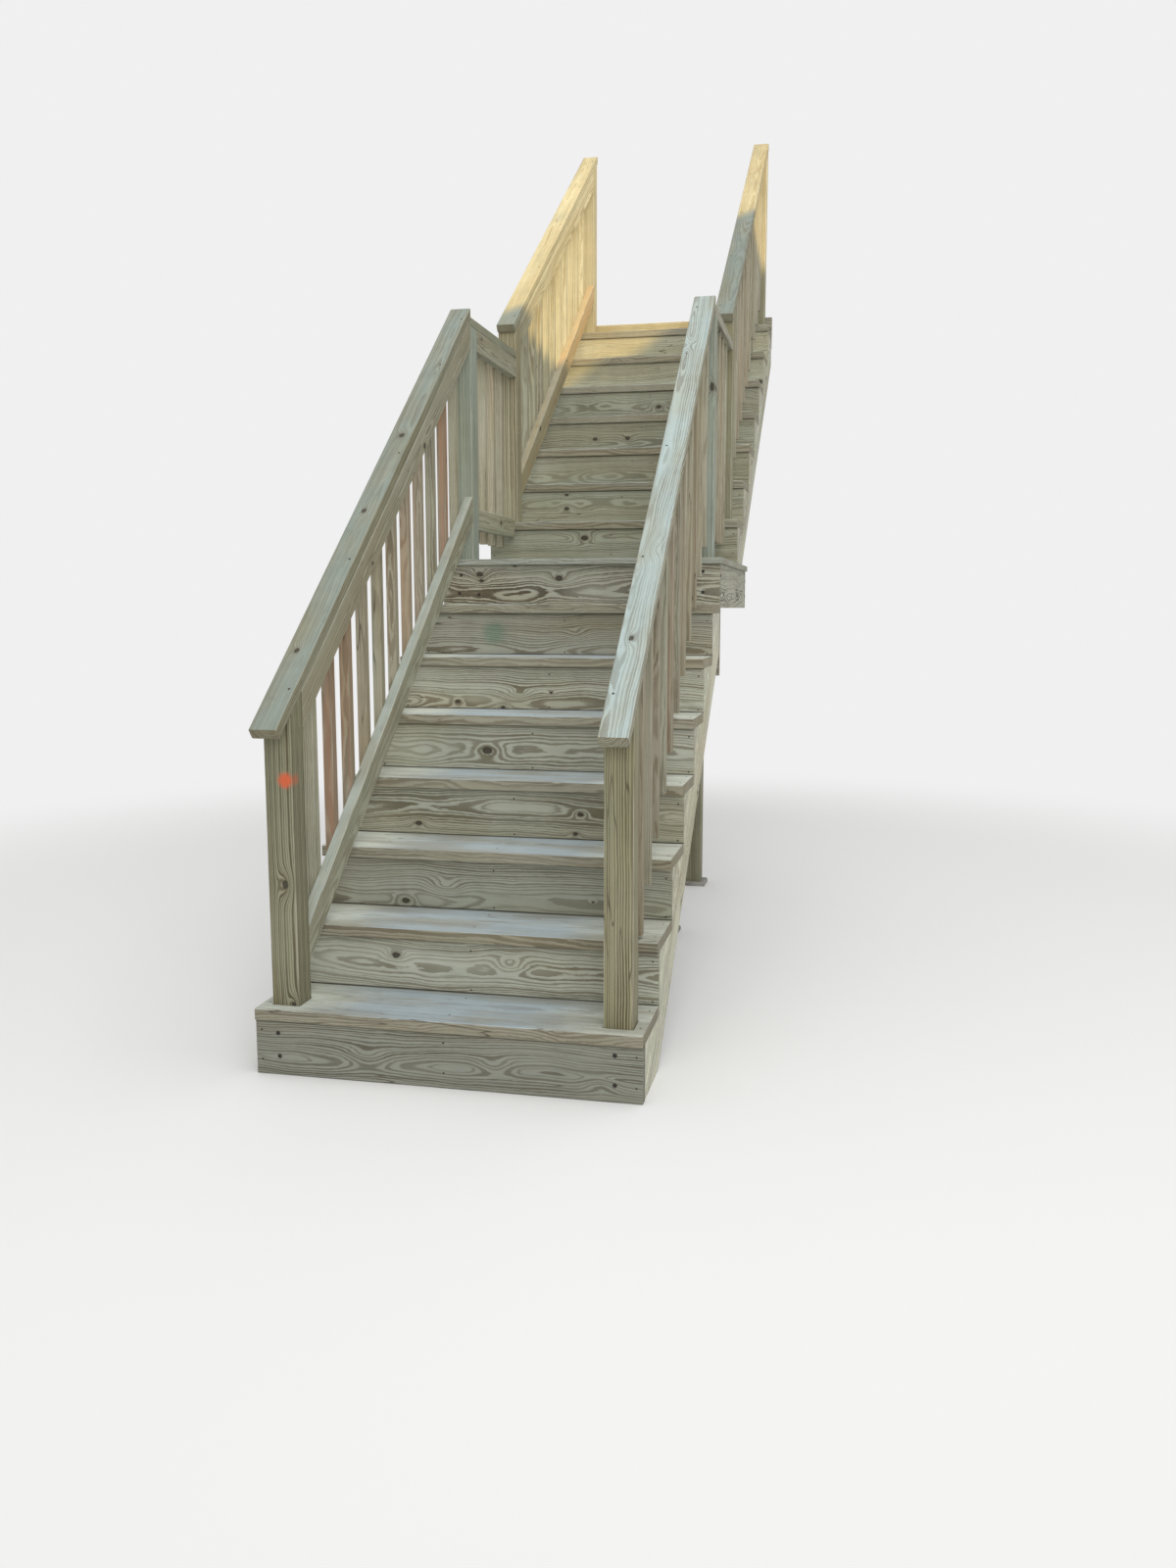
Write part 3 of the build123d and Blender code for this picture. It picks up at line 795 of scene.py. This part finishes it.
for flight, riserLook in (("lower", "riser"), ("upper", "upperRiser")):
    dressNode(flight + "_risers", "riser", "riser_lumber", "riser", riserLook)
    for number in range(1, 8):
        dressNode(f"{flight}_tread_{number}", "tread", "tread_lumber", "walked")
    for side in ("left", "middle", "right"):
        dressNode(f"{flight}_stringer_{side}", "frame", "frame_lumber")
for nodeName, look in postLooks.items():
    dressNode(nodeName, "post", "post_lumber", look=look)
for nodeName in frameBoards:
    dressNode(nodeName, "frame", "frame_lumber")
dressNode("landing_decking", "deck", "deck_lumber", "walked")
guards = [(stretch, side) for stretch in ("lower", "landing", "upper") for side in ("left", "right")]
for stretch, side in guards:
    look = "shadedCap" if side == "left" or stretch == "upper" else "cap"
    dressNode(f"{stretch}_cap_{side}", "cap", "cap_lumber", "walked", look)
print("treads, risers, stringers, posts and caps dressed")

# Guard panels; y counts from the lowest nosing
panelShape = {
    "postInner": 0.483, "railThickness": 0.038, "railDepth": 0.089, "balusterSize": 0.035,
    "tails": {"lower": 0.025, "landing": 0.05, "upper": 0.005},
    "lowerFirst": 0.151, "lowerPitch": 0.152, "counts": {"lower": 11, "landing": 4, "upper": 11},
}
stairSizes = {
    "firstTread": 0.2105, "landing": 1.65, "lastTread": 3.1025,
    "footPost": 0.05, "frontPost": 1.919, "rearPost": 2.653, "topPost": 4.49, "post": 0.089,
    "upperNosing": 2.603,
}

# How far the cap's and the bottom rail's tops are above the treads or the landing, at either end
guardHeights = {
    "cap": {"lower": (0.951, 1.063), "landing": (1.029, 1.029), "upper": (1.171, 1.0985)},
    "rail": {"lower": (0.235, 0.273), "landing": (0.224, 0.224), "upper": (0.4537, 0.3215)},
}


def lineThrough(y0, z0, y1, z1):
    slope = (z1 - z0) / (y1 - y0)
    return lambda y: z0 + slope * (y - y0)


def lowered(line, depth):
    drop = depth * math.hypot(1, line(1) - line(0))
    return lambda y: line(y) - drop


def clearSpans():
    # between the posts
    s = stairSizes
    return {
        "lower": (s["footPost"] + s["post"], s["frontPost"]),
        "landing": (s["frontPost"] + s["post"], s["rearPost"]),
        "upper": (s["rearPost"] + s["post"], s["topPost"]),
    }


def guardLines():
    # for each stretch, the line under its cap and the one on top of its bottom rail
    s = stairSizes
    grounds = {
        "lower": (s["firstTread"], s["landing"]), "landing": (s["landing"], s["landing"]),
        "upper": (s["landing"], s["lastTread"]),
    }
    spans = {
        "cap": {
            "lower": (s["footPost"], s["frontPost"]), "landing": (s["frontPost"], s["rearPost"]),
            "upper": (s["rearPost"], s["topPost"] + s["post"]),
        },
        "rail": clearSpans(),
    }

    def line(member, stretch):
        (y0, y1), (ground0, ground1) = spans[member][stretch], grounds[stretch]
        height0, height1 = guardHeights[member][stretch]
        return lineThrough(y0, ground0 + height0, y1, ground1 + height1)

    return {
        stretch: (lowered(line("cap", stretch), lumberSizes["twoBy"]), line("rail", stretch))
        for stretch in grounds
    }


def addTimber(bm, xRange, yRange, topLine, bottomLine):
    for vert in bmesh.ops.create_cube(bm, size=1.0)["verts"]:
        x = xRange[1] if vert.co.x > 0 else xRange[0]
        y = yRange[1] if vert.co.y > 0 else yRange[0]
        z = (topLine if vert.co.z > 0 else bottomLine)(y)
        vert.co = Vector((x, y + nosingY, z))


def evenStarts(start, end, count, width):
    gap = (end - start - count * width) / (count + 1)
    return [start + gap + i * (gap + width) for i in range(count)]


def buildGuardPanel(stretch, side):
    p = panelShape
    under, railTop = guardLines()[stretch]
    railUnder = lowered(railTop, p["railDepth"])
    ends = clearSpans()[stretch]
    width, count = p["balusterSize"], p["counts"][stretch]
    if stretch == "lower":
        starts = [ends[0] + p["lowerFirst"] + i * p["lowerPitch"] for i in range(count)]
    else:
        starts = evenStarts(*ends, count, width)
    sign = 1 if side == "right" else -1
    railOuter = p["postInner"] + p["railThickness"]
    railX = sorted((sign * p["postInner"], sign * railOuter))
    stickX = sorted((sign * railOuter, sign * (railOuter + width)))
    look = lumber["sunnyRail" if (stretch, side) == ("upper", "left") else "rail"]
    node = f"{stretch}_guard_panel_{side}"
    rails = bmesh.new()
    addTimber(rails, railX, ends, under, lowered(under, p["railDepth"]))
    lowEnds = (ends[0], stairSizes["upperNosing"] if stretch == "landing" else ends[1])
    addTimber(rails, railX, lowEnds, railTop, railUnder)
    easeBoards(rails, edgeSizes["usual"])
    markBoards(rails, node, "rail")
    finishPiece(rails, f"{stretch}Rails{side.capitalize()}", look, "rail_lumber", node)
    sticks = bmesh.new()
    for y in starts:
        low, high = railUnder(y) - p["tails"][stretch], under(y)
        addTimber(sticks, stickX, (y, y + width), lambda at: high, lambda at: low)
    easeBoards(sticks, edgeSizes["baluster"])
    markBoards(sticks, f"{stretch}_balusters_{side}", "baluster")
    finishPiece(sticks, f"{stretch}Balusters{side.capitalize()}", look, "rail_lumber")


for stretch, side in guards:
    buildGuardPanel(stretch, side)
print("guard panels built")

# Fasteners: radius of the heads, and where they sit behind the lowest nosing or a board's front
fasteners = {
    "washerHead": 0.008, "nailHead": 0.0032, "capHead": 0.0042,
    "stringers": (-0.591, 0.0, 0.591), "riserSetback": {"lower": 0.026, "upper": 0.01},
    "riserNails": {"below": 0.03, "above": 0.048}, "treadNails": (0.07, 0.235),
    "joists": (-0.591, -0.305, 0.0, 0.305, 0.591), "deckNails": (0.03, 0.11),
    "deckBoards": 8, "deckPitch": 0.145, "capLine": 0.502,
    "capSpots": {
        "lower": (0.091, 0.582, 1.072, 1.562, 1.85), "landing": (1.98, 2.29, 2.59),
        "upper": (2.7, 3.19, 3.68, 4.17, 4.535),
    },
    "firstRiser": ((-0.5367, 0.1343), (-0.5333, 0.0605), (0.5262, 0.1437), (0.5264, 0.0531)),
    "frontRim": (
        (-0.5282, 1.583), (-0.5371, 1.5047), (-0.4481, 1.4981), (0.5378, 1.5922), (0.5388, 1.5065),
    ),
    "landingSides": {"x": (-0.61, 0.61), "front": 0.018, "back": 0.019, "z": (1.5, 1.575)},
    "rearRim": {"x": (-0.54, 0.0, 0.54), "z": (1.5, 1.58)},
}


def coneHead(segments, tip, depth, sunk):
    # a round head of radius 1 on the surface, and its top face
    bm = bmesh.new()
    bmesh.ops.create_cone(bm, cap_ends=True, segments=segments, radius1=1.0, radius2=tip, depth=depth)
    bmesh.ops.translate(bm, vec=(0, 0, -sunk), verts=bm.verts)
    return bm, max(bm.faces, key=lambda face: face.calc_center_median().z)


def insetTop(bm, top, thickness, depth=0.0):
    bmesh.ops.inset_region(bm, faces=[top], thickness=thickness, depth=depth, use_even_offset=True)


def washerHeadMesh():
    # a flat washer head with a round boss and a six-lobe socket
    bm, top = coneHead(12, 0.82, 0.36, 0.02)
    insetTop(bm, top, 0.2, 0.1)
    insetTop(bm, top, 0.26)
    for index, vert in enumerate(top.verts):
        if index % 2:
            vert.co.xy *= 0.72
    hole = bmesh.ops.extrude_discrete_faces(bm, faces=[top])["faces"][0]
    bmesh.ops.translate(bm, vec=(0, 0, -0.22), verts=hole.verts)
    return savedMesh(bm, "washerHead")


def nailHeadMesh():
    # a domed nail head, sunk a little in the wood
    bm, top = coneHead(10, 0.92, 0.6, 0.12)
    insetTop(bm, top, 0.4, 0.07)
    return savedMesh(bm, "nailHead")


def headMaterial():
    material, tree, shader = newMaterial("darkSteel")
    rust = rise01(tree, cloud(tree, objectPlace(tree), (420.0, 420.0), 3.0, 0.6), 0.45, 0.7)
    feedNamed(tree, shader, {
        "Base Color": blendColour(tree, rust, paint(46, 44, 42), paint(78, 62, 48)),
        "Roughness": rise01(tree, rust, 0.0, 1.0, 0.45, 0.75), "Metallic": 0.4,
    })
    addRelief(tree, shader, rust, 0.3, 0.0004)
    return material


darkSteel = headMaterial()
washerHead = washerHeadMesh()
nailHead = nailHeadMesh()


def buildHeads(name, template, radius, slotName, spots):
    bm = bmesh.new()
    for number, (place, facing) in enumerate(spots):
        before = len(bm.verts)
        bm.from_mesh(template)
        bm.verts.ensure_lookup_table()
        turn = Vector(facing).to_track_quat("Z", "Y").to_matrix().to_4x4()
        turn = turn @ Matrix.Rotation(number * 1.7, 4, "Z")
        matrix = Matrix.Translation(place) @ turn @ Matrix.Scale(radius, 4)
        bmesh.ops.transform(bm, matrix=matrix, verts=bm.verts[before:])
    finishPiece(bm, name, darkSteel, slotName)


forward, backward, upward = (0, -1, 0), (0, 1, 0), (0, 0, 1)
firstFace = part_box("lower_risers")[0][1]
rimFace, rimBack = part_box("landing_front_rim")[0][1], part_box("landing_rear_rim")[1][1]


def washerSpots():
    sides, rear = fasteners["landingSides"], fasteners["rearRim"]
    spots = [((x, firstFace, z), forward) for x, z in fasteners["firstRiser"]]
    spots += [((x, rimFace, z), forward) for x, z in fasteners["frontRim"]]
    spots += [
        ((x, y, z), (math.copysign(1, x), 0, 0))
        for x in sides["x"] for y in (rimFace + sides["front"], rimBack - sides["back"]) for z in sides["z"]
    ]
    spots += [((x, rimBack, z), backward) for x in rear["x"] for z in rear["z"]]
    return spots


def stepNailSpots():
    risers, treads = [], []
    gaps = fasteners["riserNails"]
    for flight in ("lower", "upper"):
        for number in range(7):
            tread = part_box(f"{flight}_tread_{number + 1}")
            noseY, treadTop = tread[0][1], tread[1][2]
            isFirst = (flight, number) == ("lower", 0)
            face = firstFace if isFirst else noseY + fasteners["riserSetback"][flight]
            high = treadTop - lumberSizes["twoBy"]
            low = high - lumberSizes["rise"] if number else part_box(f"{flight}_risers")[0][2]
            heights = (high - gaps["below"], low + gaps["above"])
            risers += [((x, face, z), forward) for x in fasteners["stringers"] for z in heights]
            treads += [
                ((x, noseY + back, treadTop), upward)
                for x in fasteners["stringers"] for back in fasteners["treadNails"]
            ]
    return risers, treads


def deckNailSpots():
    front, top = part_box("landing_decking")[0][1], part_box("landing_decking")[1][2]
    return [
        ((x, front + fasteners["deckPitch"] * board + back, top), upward)
        for board in range(fasteners["deckBoards"])
        for x in fasteners["joists"] for back in fasteners["deckNails"]
    ]


def capScrewSpots():
    spots = []
    for stretch, (under, _) in guardLines().items():
        capTop = lowered(under, -lumberSizes["twoBy"])
        slope = under(1) - under(0)
        for y in fasteners["capSpots"][stretch]:
            for x in (-fasteners["capLine"], fasteners["capLine"]):
                spots.append(((x, y + nosingY, capTop(y)), (0, -slope, 1)))
    return spots


riserNails, treadNails = stepNailSpots()
deckNails = deckNailSpots()
buildHeads("washerHeadScrews", washerHead, fasteners["washerHead"], "riser_lumber", washerSpots())
buildHeads("capScrews", nailHead, fasteners["capHead"], "cap_lumber", capScrewSpots())
buildHeads("riserNails", nailHead, fasteners["nailHead"], "riser_lumber", riserNails)
buildHeads("treadNails", nailHead, fasteners["nailHead"], "tread_lumber", treadNails)
buildHeads("deckingNails", nailHead, fasteners["nailHead"], "deck_lumber", deckNails)
print("fasteners placed:", len(riserNails), len(treadNails), len(deckNails))

concreteLook = {
    "dark": (120, 118, 112), "pale": (158, 156, 148), "sand": (92, 90, 86), "pit": (70, 68, 64),
    "pitsPerMetre": 55.0, "pitEdge": (0.06, 0.16),
}


def buildConcrete():
    look = concreteLook
    material, tree, shader = newMaterial("castConcrete")
    place = objectPlace(tree)
    cloudy = rise01(tree, cloud(tree, place, (9.0, 9.0), 4.0, 0.6), 0.3, 0.7)
    sand = cloud(tree, place, (320.0, 320.0), 3.0, 0.7)
    colour = blendColour(tree, cloudy, paint(*look["dark"]), paint(*look["pale"]))
    colour = blendColour(tree, rise01(tree, sand, 0.55, 0.75, 0.0, 0.5), colour, paint(*look["sand"]))
    pits = addNode(tree, "ShaderNodeTexVoronoi", feature="F1")
    feedNamed(tree, pits, {"Scale": look["pitsPerMetre"], "Vector": place})
    hole = fall(tree, pits.outputs["Distance"], *look["pitEdge"])
    colour = blendColour(tree, calc(tree, "MULTIPLY", hole, 0.5), colour, paint(*look["pit"]))
    roughness = rise01(tree, sand, 0.2, 0.8, 0.78, 0.95)
    feedNamed(tree, shader, {"Base Color": colour, "Roughness": roughness})
    addRelief(tree, shader, calc(tree, "SUBTRACT", sand, hole), 0.6, 0.002)
    return material


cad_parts["support_blocks"].material_slots[0].material = buildConcrete()

# Floor, light and camera
stageLook = {"floor": (229, 229, 228), "background": (240, 240, 240), "inner": 2.6, "outer": 5.5}


def seenStraight(tree):
    # what the camera sees, directly or in a gloss; light that bounces takes the other branch
    rays = addNode(tree, "ShaderNodeLightPath").outputs
    passed = calc(tree, "MAXIMUM", rays["Is Glossy Ray"], rays["Is Transmission Ray"])
    return calc(tree, "MAXIMUM", rays["Is Camera Ray"], passed)


def addMix(tree, amount, first, second, target):
    mix = feedRow(tree, addNode(tree, "ShaderNodeMixShader"), amount, first.outputs[0], second.outputs[0])
    feed(tree, tree.nodes[target].inputs["Surface"], mix.outputs[0])


def buildFloor():
    bm = bmesh.new()
    bmesh.ops.create_circle(bm, cap_ends=True, segments=96, radius=60.0)
    floor = addObject("studioFloor", savedMesh(bm, "studioFloor"))
    material, tree, shader = newMaterial("paleFloor")
    feedNamed(tree, shader, {"Base Color": paint(*stageLook["floor"]), "Roughness": 0.9})
    glow = addNode(tree, "ShaderNodeEmission")
    feed(tree, glow.inputs["Color"], paint(*stageLook["background"]))
    away = vectorCalc(tree, "LENGTH", objectPlace(tree)).outputs["Value"]
    fade = rise01(tree, away, stageLook["inner"], stageLook["outer"])
    addMix(tree, calc(tree, "MULTIPLY", fade, seenStraight(tree)), shader, glow, "Material Output")
    floor.data.materials.append(material)


def buildWorld():
    world = bpy.data.worlds.new("studioWorld")
    world.use_nodes = True
    tree = world.node_tree
    plain = tree.nodes["Background"]
    feedNamed(tree, plain, {"Color": (1.0, 1.0, 1.0, 1.0), "Strength": 0.72})
    shown = addNode(tree, "ShaderNodeBackground")
    feedNamed(tree, shown, {"Color": paint(*stageLook["background"]), "Strength": 1.0})
    addMix(tree, seenStraight(tree), plain, shown, "World Output")
    bpy.context.scene.world = world


lamps = {
    "topSoftbox": {"at": (1.5, -2.5, 9.0), "aim": (0.0, 0.3, 1.6), "size": 6.0, "power": 300.0},
    "frontSoftbox": {"at": (3.5, -9.0, 4.5), "aim": (0.0, 0.0, 1.6), "size": 4.0, "power": 190.0},
}


def buildLamps():
    for name, lamp in lamps.items():
        light = bpy.data.lights.new(name, "AREA")
        light.shape = "SQUARE"
        light.size = lamp["size"]
        light.energy = lamp["power"]
        holder = addObject(name, light)
        holder.location = lamp["at"]
        look = Vector(lamp["aim"]) - Vector(lamp["at"])
        holder.rotation_euler = look.to_track_quat("-Z", "Y").to_euler()


viewFromPath = {"at": (1.1836, -5.709, 1.4369), "turn": 0.2124, "tip": -0.1402, "lens": 28.52}


def buildCamera():
    data = bpy.data.cameras.new("pathCamera")
    data.sensor_width = 36.0
    data.lens = viewFromPath["lens"]
    camera = addObject("pathCamera", data)
    camera.location = viewFromPath["at"]
    camera.rotation_euler = (math.pi / 2 + viewFromPath["tip"], 0.0, viewFromPath["turn"])
    bpy.context.scene.camera = camera


buildFloor()
buildWorld()
buildLamps()
buildCamera()
bpy.context.scene.view_settings.view_transform = "Standard"
print("stage, lamps and camera placed")
